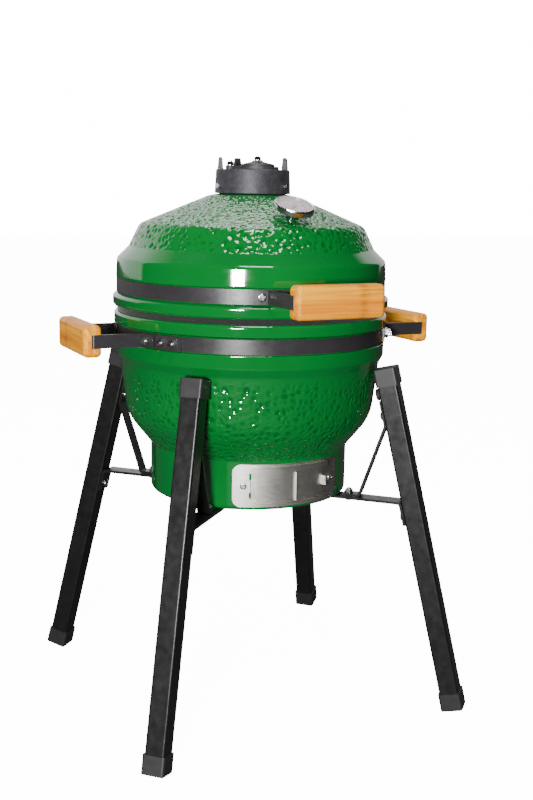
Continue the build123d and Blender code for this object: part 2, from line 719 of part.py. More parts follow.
def door_frame():
    half = DOOR_FRAME_HALF
    plate = sector(FRAME_IN_R, FRAME_OUT_R, DOOR_LOW_Z, DOOR_HIGH_Z, -half, half)
    width = 2 * FRAME_OUT_R * math.sin(math.radians(half))
    height = DOOR_HIGH_Z - DOOR_LOW_Z
    window = Plane.XZ * RectangleRounded(width, height, 11.0)
    plate &= Pos(0, 0, DOOR_MID_Z) * extrude(window, 200)
    port = DOOR_PORT_HALF
    plate -= sector(140, 148, PORT_LOW_Z, PORT_HIGH_Z, -port, port)
    rail = DOOR_RAIL_HALF
    for low, high, lip_low, lip_high in (
        (DOOR_LOW_Z + 3.0, DOOR_LOW_Z + 4.0, DOOR_LOW_Z + 3.0, DOOR_LOW_Z + 7.5),
        (DOOR_HIGH_Z - 4.0, DOOR_HIGH_Z - 3.0, DOOR_HIGH_Z - 10.5, DOOR_HIGH_Z - 3.0),
    ):
        plate += sector(FRAME_OUT_R - 0.2, SHELF_OUT_R, low, high, -rail, rail)
        plate += sector(LIP_IN_R, SHELF_OUT_R, lip_low, lip_high, -rail, rail)
    stop_low = DOOR_MID_Z - STOP_HALF
    stop_high = DOOR_MID_Z + STOP_HALF
    plate += sector(FRAME_OUT_R - 0.2, FRAME_OUT_R + 4.2, stop_low, stop_high, -24.4, -23.8)
    for low in (stop_low - STOP_SLOT, stop_high):
        plate -= sector(140, 148, low, low + STOP_SLOT, -24.4, -23.2)
    for side in (-1, 1):
        plate -= peg(2.0, 140.0, 150.0, DOOR_MID_Z, side * DOOR_SCREW_AT)
    return plate


def door_screw(angle):
    head = peg(4.6, FRAME_OUT_R, FRAME_OUT_R + 2.6, DOOR_MID_Z, angle)
    rims = head.edges().filter_by(GeomType.CIRCLE).sort_by_distance((0, 0, DOOR_MID_Z))
    head = fillet(rims[-1], 1.6)
    for width, height in ((1.0, 5.0), (5.0, 1.0)):
        cross = Pos(0, -FRAME_OUT_R - 2.6, DOOR_MID_Z) * Box(width, 2.2, height)
        head -= turned(cross, angle)
    return head + peg(2.0, 131.0, FRAME_OUT_R, DOOR_MID_Z, angle)


def outer_panel():
    plate = sector(147.6, 148.6, PANEL_LOW_Z, PANEL_HIGH_Z, -20.5, 1.2)
    tab = sector(148.4, 152.5, DOOR_LOW_Z + 8.5, DOOR_HIGH_Z - 11.5, 0.8, 1.2)
    return plate + tab


def inner_panel():
    plate = sector(145.8, 146.8, PANEL_LOW_Z, PANEL_HIGH_Z, -1.0, 20.5)
    tab = sector(146.6, 152.5, DOOR_MID_Z - 6.5, DOOR_MID_Z + 6.5, 20.1, 20.5)
    return plate + tab


save(door_frame(), "draft_door_frame")
save([door_screw(side * DOOR_SCREW_AT) for side in (-1, 1)], "draft_door_screws")
save(outer_panel(), "draft_panel_outer")
save(inner_panel(), "draft_panel_inner")


# ---------------------------------------------------------------- inside the grill

BOWL_JOINT_Z = 388.0

def fire_bowl_base():
    """Skirt on the floor of the ceramic base, with the ledge that holds the charcoal grate."""
    outline = [
        (117.0, 322.0, 2),
        (116.0, 372.0, 6),
        (125.0, BOWL_JOINT_Z, 0),
        (90.0, BOWL_JOINT_Z, 0),
        (76.0, BOWL_JOINT_Z, 1),
        (76.0, 380.0, 0),
        (70.0, 380.0, 1),
        (70.0, 370.0, 1),
        (100.0, 366.0, 8),
        (104.0, 322.0, 2),
    ]
    skirt = lathe(outline)
    return skirt - sector(90, 130, PORT_LOW_Z - 2.0, PORT_HIGH_Z - 2.0, -18.0, 18.0)


def fire_bowl():
    outline = [
        (125.0, BOWL_JOINT_Z, 0),
        (131.0, 398.0, 20),
        (144.0, 434.0, 20),
        (153.0, 478.0, 2),
        (139.0, 478.0, 2),
        (131.0, 438.0, 20),
        (118.0, 404.0, 10),
        (90.0, BOWL_JOINT_Z, 0),
    ]
    bowl = lathe(outline)
    for port in range(8):
        bowl -= peg(7.0, 110, 170, 430.0, 22.5 + 45 * port)
    return bowl


def fire_ring():
    outline = [
        (157.0, 478.0, 2),
        (159.5, 540.0, 3),
        (144.5, 540.0, 3),
        (142.0, 478.0, 2),
    ]
    band = lathe(outline)
    return band - sector(130, 170, 470.0, 486.0, -12.0, 12.0)


def charcoal_grate():
    plate = disc(75.5, 380.0, 386.0)
    for row in range(-3, 4):
        length = 2 * math.sqrt(68.0 ** 2 - (18.0 * row) ** 2)
        plate -= Pos(18.0 * row, 0, 383) * Box(9.0, length, 10)
    plate += Pos(0, 0, 383) * Box(140, 8.0, 6.0)
    return plate


def cooking_grid():
    level = 543.0
    grid = Pos(0, 0, level) * Torus(152.0, 3.0)
    for row in range(-9, 10):
        x = 15.5 * row
        length = 2 * math.sqrt(151.5 ** 2 - x ** 2)
        grid += Pos(x, 0, level) * Rot(90, 0, 0) * Cylinder(2.0, length)
    for x_reach in (-70.0, 70.0):
        length = 2 * math.sqrt(143.0 ** 2 - x_reach ** 2)
        grid += Pos(0, x_reach, level - 3.0) * Rot(0, 90, 0) * Cylinder(2.4, length)
    return grid


save(fire_bowl_base(), "fire_bowl_base")
save(fire_bowl(), "fire_bowl")
save(fire_ring(), "fire_ring")
save(charcoal_grate(), "charcoal_grate")
save(cooking_grid(), "cooking_grid")
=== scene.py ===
import json
import math

import bmesh
import bpy
from mathutils import Matrix, Vector, noise


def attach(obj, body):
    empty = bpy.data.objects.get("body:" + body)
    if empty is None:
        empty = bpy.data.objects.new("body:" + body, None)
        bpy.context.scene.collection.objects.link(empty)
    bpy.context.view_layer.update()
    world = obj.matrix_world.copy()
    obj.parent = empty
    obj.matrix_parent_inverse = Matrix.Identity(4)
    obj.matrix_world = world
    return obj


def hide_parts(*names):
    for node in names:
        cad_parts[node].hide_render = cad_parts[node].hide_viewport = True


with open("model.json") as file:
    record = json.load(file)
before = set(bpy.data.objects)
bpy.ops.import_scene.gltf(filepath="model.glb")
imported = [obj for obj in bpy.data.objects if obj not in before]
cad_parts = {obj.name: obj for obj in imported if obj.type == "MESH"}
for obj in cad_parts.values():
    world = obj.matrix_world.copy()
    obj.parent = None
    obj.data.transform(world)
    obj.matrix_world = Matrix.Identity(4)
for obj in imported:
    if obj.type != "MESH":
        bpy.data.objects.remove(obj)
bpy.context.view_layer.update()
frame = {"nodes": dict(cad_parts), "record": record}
nodes = frame["nodes"]

MM = 0.001

# ---------------------------------------------------------------- sizes as in CAD, mm

# The ceramic axis stands this far behind the origin.
AXIS_Y = 9.2
FOOT_Z = 304.0
FOOT_R = 143.5
FOOT_TOP_Z = 373.0
BASE_TOP_Z = 564.5
BAND_SEAT_R = 190.0
BAND_HALF = 9.7
LID_BAND_Z = 600.5
BASE_BAND_Z = 535.5
LID_BOTTOM_Z = 571.5
LID_RIM_R = 197.5
NECK_R = 46.0
NECK_HOLE_R = 37.0
HINGE_Y = AXIS_Y + 222.0
HINGE_Z = 568.0
COLLAR_Z = 729.0
NECK_TOP_Z = 749.5
DIAL_SEAT = Vector((0, AXIS_Y - 125.0, 700.5))
DIAL_TILT = math.radians(23.8)

# Each corner of a turned outline: radius, height, rounding.
BASE_OUTLINE = [
    (0, FOOT_Z, 0),
    (FOOT_R, FOOT_Z, 6),
    (FOOT_R, FOOT_TOP_Z, 4),
    (178.2, 416.0, 66),
    (187.0, 494.0, 8),
    (193.2, 506.0, 4),
    (193.4, BASE_BAND_Z - BAND_HALF - 1.5, 1),
    (BAND_SEAT_R, BASE_BAND_Z - BAND_HALF - 1.0, 0),
    (BAND_SEAT_R, BASE_BAND_Z + BAND_HALF + 0.8, 0),
    (195.8, BASE_BAND_Z + BAND_HALF + 3.2, 1.5),
    (195.8, BASE_TOP_Z, 4.5),
    (173.0, BASE_TOP_Z, 3),
    (167.0, 500.0, 20),
    (160.0, 430.0, 50),
    (124.0, 372.0, 12),
    (122.0, 322.0, 3),
    (0, 322.0, 0),
]
LID_OUTLINE = [
    (177.0, LID_BOTTOM_Z, 3),
    (LID_RIM_R, LID_BOTTOM_Z, 5),
    (LID_RIM_R, LID_BAND_Z - BAND_HALF - 4.5, 3),
    (BAND_SEAT_R, LID_BAND_Z - BAND_HALF - 0.8, 0),
    (BAND_SEAT_R, LID_BAND_Z + BAND_HALF + 0.8, 0),
    (192.9, LID_BAND_Z + BAND_HALF + 1.6, 1),
    (191.6, 638.0, 7),
    (174.6, 654.5, 9),
    (159.5, 685.5, 16),
    (60.0, 727.0, 6),
    (NECK_R, COLLAR_Z, 0),
    (NECK_R, NECK_TOP_Z, 2),
    (NECK_HOLE_R, NECK_TOP_Z, 2),
    (NECK_HOLE_R, 713.5, 3),
    (60.0, 708.5, 5),
    (145.0, 673.5, 16),
    (160.0, 647.0, 9),
    (172.0, 630.0, 9),
]

# ---------------------------------------------------------------- camera

CAMERA_AZIMUTH = math.radians(-26.0)
CAMERA_DISTANCE = 1.590
CAMERA_HEIGHT = 0.735
CAMERA_PITCH = math.radians(10.82)
CAMERA_SIDE = 0.0256
CAMERA_ROLL = math.radians(1.1)
CAMERA_LENS = 49.5

toward_camera = Vector((math.sin(CAMERA_AZIMUTH), -math.cos(CAMERA_AZIMUTH), 0))
camera_right = Vector((math.cos(CAMERA_AZIMUTH), math.sin(CAMERA_AZIMUTH), 0))


def make_camera():
    data = bpy.data.cameras.new("camera")
    data.lens = CAMERA_LENS
    data.sensor_width = 36.0
    camera = bpy.data.objects.new("camera", data)
    bpy.context.scene.collection.objects.link(camera)
    forward = -toward_camera * math.cos(CAMERA_PITCH) - Vector((0, 0, math.sin(CAMERA_PITCH)))
    up = camera_right.cross(forward)
    right = camera_right * math.cos(CAMERA_ROLL) + up * math.sin(CAMERA_ROLL)
    up = right.cross(forward)
    turn = Matrix((right, up, -forward)).transposed().to_4x4()
    place = toward_camera * CAMERA_DISTANCE + camera_right * CAMERA_SIDE
    place += Vector((0, AXIS_Y * MM, CAMERA_HEIGHT))
    camera.matrix_world = Matrix.Translation(place) @ turn
    data.clip_start = 0.05
    data.clip_end = 60.0
    bpy.context.scene.camera = camera


make_camera()

# ---------------------------------------------------------------- material helpers


class Shader:
    """A small wrapper that keeps one node material readable."""

    def __init__(self, name):
        self.material = bpy.data.materials.new(name)
        self.material.use_nodes = True
        self.tree = self.material.node_tree
        self.bsdf = self.tree.nodes["Principled BSDF"]
        self.place = self.add("ShaderNodeTexCoord").outputs["Object"]

    def add(self, kind, **settings):
        node = self.tree.nodes.new(kind)
        for key, value in settings.items():
            setattr(node, key, value)
        return node

    def link(self, source, target):
        self.tree.links.new(source, target)

    def set(self, **values):
        for key, value in values.items():
            socket = self.bsdf.inputs[key.replace("_", " ")]
            if isinstance(value, tuple):
                socket.default_value = (*value, 1.0)
            elif isinstance(value, (int, float)):
                socket.default_value = value
            else:
                self.link(value, socket)

    def stretched(self, x, y, z):
        mapping = self.add("ShaderNodeMapping")
        self.link(self.place, mapping.inputs["Vector"])
        mapping.inputs["Scale"].default_value = (x, y, z)
        return mapping.outputs["Vector"]

    def noise(self, scale, detail=4.0, vector=None, roughness=0.5):
        node = self.add("ShaderNodeTexNoise")
        self.link(vector or self.place, node.inputs["Vector"])
        node.inputs["Scale"].default_value = scale
        node.inputs["Detail"].default_value = detail
        node.inputs["Roughness"].default_value = roughness
        return node.outputs["Fac"]

    def range(self, value, low, high, to_low, to_high):
        node = self.add("ShaderNodeMapRange")
        self.link(value, node.inputs["Value"])
        node.inputs["From Min"].default_value = low
        node.inputs["From Max"].default_value = high
        node.inputs["To Min"].default_value = to_low
        node.inputs["To Max"].default_value = to_high
        return node.outputs["Result"]

    def ramp(self, value, *stops):
        node = self.add("ShaderNodeValToRGB")
        self.link(value, node.inputs["Fac"])
        elements = node.color_ramp.elements
        while len(elements) < len(stops):
            elements.new(0.5)
        for element, (position, colour) in zip(elements, stops):
            element.position = position
            element.color = (*colour, 1.0)
        return node.outputs["Color"]

    def math(self, operation, a, b=0.0):
        node = self.add("ShaderNodeMath", operation=operation)
        for socket, value in zip(node.inputs, (a, b)):
            if isinstance(value, (int, float)):
                socket.default_value = value
            else:
                self.link(value, socket)
        return node.outputs["Value"]

    def mix(self, factor, a, b):
        node = self.add("ShaderNodeMix", data_type="RGBA")
        for socket, value in ((0, factor), (6, a), (7, b)):
            if isinstance(value, tuple):
                node.inputs[socket].default_value = (*value, 1.0)
            elif isinstance(value, (int, float)):
                node.inputs[socket].default_value = value
            else:
                self.link(value, node.inputs[socket])
        return node.outputs[2]

    def bump(self, height, distance, strength=1.0, after=None):
        node = self.add("ShaderNodeBump")
        self.link(height, node.inputs["Height"])
        node.inputs["Distance"].default_value = distance
        node.inputs["Strength"].default_value = strength
        if after:
            self.link(after, node.inputs["Normal"])
        return node.outputs["Normal"]


def green_glaze():
    s = Shader("green_glaze")
    depth = s.add("ShaderNodeAttribute", attribute_name="pit_depth").outputs["Fac"]
    cloud = s.noise(9.0, 3.0)
    fleck = s.noise(420.0, 2.0)
    body = s.ramp(cloud, (0.3, (0.0, 0.118, 0.017)), (0.7, (0.0, 0.138, 0.021)))
    # Painted shade: the green is darkened towards the floor of each pit, by pit depth, where shade
    # falls in the hollows.
    glaze_with_painted_pit_shade = s.mix(s.range(depth, 0.15, 0.9, 0.0, 0.62), body, (0.0, 0.060, 0.008))
    speck = s.range(fleck, 0.72, 0.8, 0.0, 0.2)
    s.set(Base_Color=s.mix(speck, glaze_with_painted_pit_shade, (0.0, 0.06, 0.01)))
    s.set(Roughness=s.range(s.noise(60.0, 3.0), 0.3, 0.7, 0.05, 0.10))
    s.set(Normal=s.bump(s.noise(38.0, 1.0), 0.0004, 0.22))
    s.set(Coat_Weight=0.5, Coat_Roughness=0.03, IOR=1.52)
    return s.material


def satin_black(name, base, rough_low, rough_high, grain):
    s = Shader(name)
    cloud = s.noise(14.0, 4.0)
    s.set(Base_Color=s.ramp(cloud, (0.3, base), (0.75, tuple(c * 1.35 + 0.002 for c in base))))
    s.set(Roughness=s.range(s.noise(90.0, 4.0), 0.3, 0.7, rough_low, rough_high))
    s.set(Normal=s.bump(s.noise(grain, 3.0), 0.0002, 0.35))
    s.set(Specular_IOR_Level=0.5)
    return s.material


def cast_iron():
    s = Shader("cast_iron")
    sand = s.noise(650.0, 5.0, roughness=0.65)
    coarse = s.noise(120.0, 4.0)
    s.set(Base_Color=s.ramp(coarse, (0.3, (0.034, 0.031, 0.038)), (0.7, (0.062, 0.058, 0.068))))
    s.set(Roughness=s.range(sand, 0.3, 0.7, 0.42, 0.62))
    s.set(Normal=s.bump(sand, 0.0006, 0.55, s.bump(coarse, 0.0008, 0.25)))
    s.set(Metallic=0.35)
    return s.material


# Where the dark node band crosses each grip, metres from the origin along the grip.
NODE_MARK = 0.030


def bamboo(name, along):
    """Laminated bamboo: fine fibres along one axis, slats across it, and a node band."""
    s = Shader(name)
    fine = {"x": (9.0, 260.0, 260.0), "y": (260.0, 9.0, 260.0)}[along]
    slat = {"x": (0.6, 60.0, 42.0), "y": (60.0, 0.6, 42.0)}[along]
    fibre = s.noise(1.0, 5.0, s.stretched(*fine), 0.6)
    slats = s.noise(1.0, 1.0, s.stretched(*slat))
    cloud = s.noise(18.0, 3.0)
    light = s.ramp(
        slats,
        (0.38, (0.74, 0.25, 0.004)),
        (0.50, (0.96, 0.44, 0.010)),
        (0.62, (0.80, 0.27, 0.004)),
    )
    streak = s.range(fibre, 0.42, 0.66, 0.0, 0.75)
    wood = s.mix(streak, light, (0.50, 0.13, 0.002))
    wood = s.mix(s.range(cloud, 0.35, 0.8, 0.0, 0.22), wood, (0.70, 0.23, 0.006))
    split = s.add("ShaderNodeSeparateXYZ")
    s.link(s.place, split.inputs["Vector"])
    run = split.outputs["X" if along == "x" else "Y"]
    sway = s.range(s.noise(70.0, 3.0), 0.0, 1.0, -0.007, 0.007)
    offset = s.math("ABSOLUTE", s.math("SUBTRACT", s.math("ADD", run, sway), NODE_MARK))
    band = s.range(offset, 0.0, 0.009, 0.8, 0.0)
    knot = s.math("MULTIPLY", band, s.range(fibre, 0.35, 0.65, 0.15, 1.0))
    wood = s.mix(knot, wood, (0.33, 0.09, 0.006))
    s.set(Base_Color=wood, Roughness=s.range(fibre, 0.3, 0.7, 0.30, 0.42))
    s.set(Normal=s.bump(fibre, 0.0003, 0.35))
    s.set(Specular_IOR_Level=0.16, Coat_Weight=0.04, Coat_Roughness=0.2)
    return s.material


def brushed_steel(name, colour, rough, stretch):
    s = Shader(name)
    brush = s.noise(1.0, 4.0, s.stretched(*stretch), 0.6)
    cloud = s.noise(25.0, 3.0)
    s.set(Base_Color=s.ramp(cloud, (0.3, colour), (0.7, tuple(c * 0.86 for c in colour))))
    s.set(Metallic=1.0, Roughness=s.range(brush, 0.3, 0.7, rough, rough + 0.14))
    s.set(Normal=s.bump(brush, 0.0001, 0.3))
    return s.material


def bright_metal(name, colour, rough):
    s = Shader(name)
    cloud = s.noise(180.0, 4.0)
    s.set(Base_Color=s.ramp(cloud, (0.3, colour), (0.75, tuple(c * 0.82 for c in colour))))
    s.set(Metallic=1.0, Roughness=s.range(cloud, 0.3, 0.7, rough, rough + 0.12))
    s.set(Normal=s.bump(s.noise(700.0, 2.0), 0.0001, 0.2))
    return s.material


def felt():
    s = Shader("felt")
    hair = s.noise(900.0, 6.0, roughness=0.7)
    s.set(Base_Color=s.ramp(hair, (0.35, (0.004, 0.004, 0.004)), (0.7, (0.02, 0.02, 0.02))))
    s.set(Roughness=0.95, Sheen_Weight=0.15)
    s.set(Normal=s.bump(hair, 0.0006, 0.7))
    return s.material


def rubber():
    s = Shader("rubber")
    grain = s.noise(500.0, 3.0)
    s.set(Base_Color=s.ramp(grain, (0.3, (0.008, 0.008, 0.008)), (0.7, (0.018, 0.018, 0.018))))
    s.set(Roughness=0.7, Normal=s.bump(grain, 0.0002, 0.4))
    return s.material


def fire_clay():
    s = Shader("fire_clay")
    grit = s.noise(300.0, 6.0, roughness=0.7)
    cloud = s.noise(12.0, 4.0)
    clay = s.ramp(cloud, (0.3, (0.46, 0.34, 0.22)), (0.7, (0.58, 0.45, 0.31)))
    s.set(Base_Color=s.mix(s.range(grit, 0.6, 0.75, 0.0, 0.5), clay, (0.26, 0.19, 0.13)))
    s.set(Roughness=0.9, Normal=s.bump(grit, 0.0008, 0.6))
    return s.material


def plain_paint(name, colour, rough):
    s = Shader(name)
    cloud = s.noise(200.0, 3.0)
    s.set(Base_Color=s.ramp(cloud, (0.3, colour), (0.7, tuple(c * 0.93 for c in colour))))
    s.set(Roughness=rough)
    return s.material


def clear_glass():
    s = Shader("clear_glass")
    s.set(Base_Color=(0.97, 0.98, 0.98), Roughness=0.02, IOR=1.45, Alpha=0.16)
    s.set(Normal=s.bump(s.noise(30.0, 2.0), 0.0001, 0.1))
    return s.material


MATERIALS = {
    "green_glaze": green_glaze(),
    "black_band_steel": satin_black("black_band_steel", (0.022, 0.020, 0.022), 0.28, 0.38, 160.0),
    "black_leg_paint": satin_black("black_leg_paint", (0.0042, 0.0040, 0.0038), 0.28, 0.40, 500.0),
    "black_cap_plastic": satin_black("black_cap_plastic", (0.013, 0.013, 0.013), 0.40, 0.52, 800.0),
    "black_rubber": rubber(),
    "cast_iron": cast_iron(),
    "black_felt": felt(),
    "bright_zinc": bright_metal("bright_zinc", (0.74, 0.75, 0.74), 0.14),
    "chrome": bright_metal("chrome", (0.84, 0.85, 0.86), 0.07),
    "stainless": brushed_steel("stainless", (0.86, 0.84, 0.77), 0.30, (60.0, 60.0, 900.0)),
    "dial_paint": plain_paint("dial_paint", (0.50, 0.37, 0.39), 0.55),
    "needle_paint": plain_paint("needle_paint", (0.35, 0.012, 0.012), 0.4),
    "clear_glass": clear_glass(),
    "fire_clay": fire_clay(),
}
WOOD_ALONG_X = bamboo("bamboo_along_x", "x")
WOOD_ALONG_Y = bamboo("bamboo_along_y", "y")


def paint(obj, material):
    obj.data.materials.clear()
    obj.data.materials.append(material)


def dress_cad_nodes():
    slots = {entry["node"]: entry["material_slot"] for entry in frame["record"]["subparts"]}
    for name, obj in nodes.items():
        if slots[name] == "bamboo":
            paint(obj, WOOD_ALONG_X if name.startswith("lid") else WOOD_ALONG_Y)
        else:
            paint(obj, MATERIALS[slots[name]])


dress_cad_nodes()

# ---------------------------------------------------------------- mesh helpers


def link_mesh(name, mesh):
    obj = bpy.data.objects.new(name, mesh)
    bpy.context.scene.collection.objects.link(obj)
    return obj


def rounded_outline(corners, closed, step):
    """Points along an outline with rounded corners, no further apart than step; mm."""
    count = len(corners)
    path = []
    marks = []
    for i, (r, z, rounding) in enumerate(corners):
        here = Vector((r, z))
        marks.append(len(path))
        if not closed and i in (0, count - 1) or rounding == 0:
            path.append(here)
            continue
        back = (Vector(corners[i - 1][:2]) - here).normalized()
        ahead = (Vector(corners[(i + 1) % count][:2]) - here).normalized()
        half = back.angle(ahead) / 2
        reach = rounding / math.tan(half)
        centre = here + (back + ahead).normalized() * rounding / math.sin(half)
        start = here + back * reach - centre
        swing = start.angle_signed(here + ahead * reach - centre)
        pieces = max(3, int(abs(swing) * rounding / 1.2) + 1)
        for k in range(pieces + 1):
            spin = Matrix.Rotation(-swing * k / pieces, 2)
            path.append(centre + spin @ start)
    dense = []
    where = []
    total = len(path)
    for i, point in enumerate(path):
        where.append(len(dense))
        dense.append(point)
        if i == total - 1 and not closed:
            break
        nxt = path[(i + 1) % total]
        extra = int((nxt - point).length / step)
        for k in range(1, extra + 1):
            dense.append(point.lerp(nxt, k / (extra + 1)))
    return dense, [where[m] for m in marks]


PIT_SPACING = 8.6
PIT_DEPTH = 1.9
PIT_EDGE = 0.62
# Blender's noise vectors start from the clock unless they are seeded.
NOISE_SEED = 11
noise.seed_set(NOISE_SEED)


def pit_depth(point):
    """0 on the ridges between the glaze's pits and 1 at a pit's floor; point in mm."""
    warp = noise.noise_vector(point * 0.055) * 3.4 + noise.noise_vector(point * 0.17) * 1.5
    near = noise.voronoi((point + warp) / PIT_SPACING)[0]
    edge = min(1.0, (near[1] - near[0]) / PIT_EDGE)
    bowl = edge * edge * (3 - 2 * edge)
    return max(0.0, bowl * (0.78 + 0.45 * noise.noise(point * 0.07)))


def turned_body(name, corners, closed, textured, segments, step):
    """Ceramic turned about Z, with the textured stretches of its outline pitted."""
    outline, marks = rounded_outline(corners, closed, step)
    rows = len(outline)
    zone = [0.0] * rows
    for first, last, ramp_in, ramp_out in textured:
        low, high = marks[first], marks[last]
        run = [0.0]
        for i in range(low + 1, high + 1):
            run.append(run[-1] + (outline[i] - outline[i - 1]).length)
        for i, s in enumerate(run):
            fade = min(1.0, s / ramp_in, (run[-1] - s) / ramp_out)
            zone[low + i] = max(zone[low + i], fade * fade * (3 - 2 * fade))
    verts = []
    depths = []
    for i, point in enumerate(outline):
        before = outline[i - 1] if i else outline[0]
        after = outline[(i + 1) % rows] if closed or i < rows - 1 else outline[-1]
        along = (after - before).normalized()
        out = Vector((along.y, -along.x))
        if point.x < 0.01:
            verts.append((0, AXIS_Y * MM, point.y * MM))
            depths.append(0.0)
            continue
        for k in range(segments):
            a = 2 * math.pi * k / segments
            ca, sa = math.cos(a), math.sin(a)
            depth = 0.0
            if zone[i] > 0:
                depth = pit_depth(Vector((point.x * ca, point.x * sa, point.y))) * zone[i]
            swell = 0.25 * zone[i] - PIT_DEPTH * depth
            r = point.x + out.x * swell
            z = point.y + out.y * swell
            verts.append((r * ca * MM, (AXIS_Y + r * sa) * MM, z * MM))
            depths.append(depth)
    faces = []
    starts = []
    at = 0
    for point in outline:
        starts.append(at)
        at += 1 if point.x < 0.01 else segments
    pairs = [(i, i + 1) for i in range(rows - 1)] + ([(rows - 1, 0)] if closed else [])
    for i, j in pairs:
        a, b = starts[i], starts[j]
        for k in range(segments):
            n = (k + 1) % segments
            if outline[i].x < 0.01:
                faces.append((a, b + n, b + k))
            elif outline[j].x < 0.01:
                faces.append((a + k, a + n, b))
            else:
                faces.append((a + k, a + n, b + n, b + k))
    mesh = bpy.data.meshes.new(name)
    mesh.from_pydata(verts, [], faces)
    attribute = mesh.attributes.new("pit_depth", "FLOAT", "POINT")
    attribute.data.foreach_set("value", depths)
    mesh.polygons.foreach_set("use_smooth", [True] * len(faces))
    obj = link_mesh(name, mesh)
    paint(obj, MATERIALS["green_glaze"])
    return obj


def cut(obj, cutter):
    change = obj.modifiers.new("cut", "BOOLEAN")
    change.operation = "DIFFERENCE"
    change.solver = "EXACT"
    change.object = cutter
    bpy.context.view_layer.update()
    made = bpy.data.meshes.new_from_object(obj.evaluated_get(bpy.context.evaluated_depsgraph_get()))
    obj.modifiers.clear()
    obj.data = made
    bpy.data.objects.remove(cutter)


# ---------------------------------------------------------------- ceramic body

SEGMENTS = 720
STEP = 1.7


PORT_HALF_ANGLE = math.radians(17.0)
PORT_HEIGHTS = (0.319, 0.358)
PORT_REACH = (0.112, 0.160)


def port_cutter():
    """Wedge that opens the draft port through the foot's wall; metres."""
    half = PORT_HALF_ANGLE
    corners = []
    for r in PORT_REACH:
        for side in (-1, 1):
            corners.append((side * r * math.sin(half), AXIS_Y * MM - r * math.cos(half)))
    verts = [(x, y, z) for z in PORT_HEIGHTS for x, y in corners]
    faces = [(0, 1, 3, 2), (4, 6, 7, 5), (0, 2, 6, 4), (1, 5, 7, 3), (2, 3, 7, 6), (0, 4, 5, 1)]
    mesh = bpy.data.meshes.new("port_cutter")
    mesh.from_pydata(verts, [], faces)
    made = bmesh.new()
    made.from_mesh(mesh)
    bmesh.ops.recalc_face_normals(made, faces=made.faces)
    made.to_mesh(mesh)
    made.free()
    return link_mesh("port_cutter", mesh)


# Each pitted stretch: its first and last corner, and how far it fades in and out, mm.
base = turned_body("glazed_base", BASE_OUTLINE, False, [(2, 4, 6.0, 16.0)], SEGMENTS, STEP)
cut(base, port_cutter())
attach(base, "base")
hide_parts("ceramic_base")

lid = turned_body("glazed_lid", LID_OUTLINE, True, [(7, 9, 4.0, 7.0)], SEGMENTS, STEP)
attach(lid, "lid")
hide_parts("ceramic_lid")

# ---------------------------------------------------------------- thermometer print

DIAL_FACE = 13.84
INK = plain_paint("dial_ink", (0.03, 0.03, 0.03), 0.5)
RED_INK = plain_paint("dial_red", (0.62, 0.03, 0.05), 0.5)
PINK_INK = plain_paint("dial_pink", (0.70, 0.30, 0.32), 0.5)
dial_turn = Matrix.Rotation(DIAL_TILT, 4, "X")
dial_place = Matrix.Translation(DIAL_SEAT * MM) @ dial_turn @ Matrix.Scale(MM, 4)


def printed(name, patches, ink):
    """One flat mesh of ring patches on the dial: inner and outer radius, from and to angle."""
    verts = []
    faces = []
    for r_in, r_out, start, end in patches:
        pieces = max(1, int(abs(end - start) / 4))
        first = len(verts)
        for k in range(pieces + 1):
            a = math.radians(90 - start - (end - start) * k / pieces)
            for r in (r_out, r_in):
                verts.append(dial_place @ Vector((r * math.cos(a), r * math.sin(a), DIAL_FACE)))
        for k in range(pieces):
            at = first + 2 * k
            faces.append((at, at + 2, at + 3, at + 1))
    mesh = bpy.data.meshes.new(name)
    mesh.from_pydata(verts, [], faces)
    obj = link_mesh(name, mesh)
    paint(obj, ink)
    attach(obj, "lid")


SCALE_END = 135.0
long_ticks = [(18.0, 22.4, a - 0.8, a + 0.8) for a in range(-135, 136, 27)]
short_ticks = [(20.2, 22.4, a / 10 - 0.45, a / 10 + 0.45) for a in range(-1350, 1351, 54)]
printed("dial_ticks", long_ticks + short_ticks + [(22.4, 22.8, -SCALE_END, SCALE_END)], INK)
printed("dial_red_arc", [(15.2, 17.4, 60.0, SCALE_END)], RED_INK)
printed("dial_pink_arc", [(15.2, 17.4, -SCALE_END, -50.0)], PINK_INK)


def dial_number(value, angle):
    """A small plain number beside its tick."""
    data = bpy.data.curves.new("number_" + value, "FONT")
    data.body = value
    data.size = 3.6 * MM
    data.align_x = "CENTER"
    data.align_y = "CENTER"
    text = bpy.data.objects.new("number_" + value, data)
    bpy.context.scene.collection.objects.link(text)
    a = math.radians(90 - angle)
    spot = dial_place @ Vector((12.6 * math.cos(a), 12.6 * math.sin(a), DIAL_FACE + 0.02))
    text.matrix_world = Matrix.Translation(spot) @ dial_turn
    data.materials.append(INK)
    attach(text, "lid")


LOWEST_READING = 50
READING_STEP = 70
READINGS = 6
for k in range(READINGS):
    dial_number(str(LOWEST_READING + READING_STEP * k), -SCALE_END + 54.0 * k)

# ---------------------------------------------------------------- hinge springs

SPRING_R = 7.2
SPRING_WIRE_R = 1.4
SPRING_PITCH = 3.0
SPRING_TURNS = 7
SPRING_X = 15.0
SPRING_FOOT_Y = AXIS_Y + 198.0
SPRING_FOOT_Z = 541.0


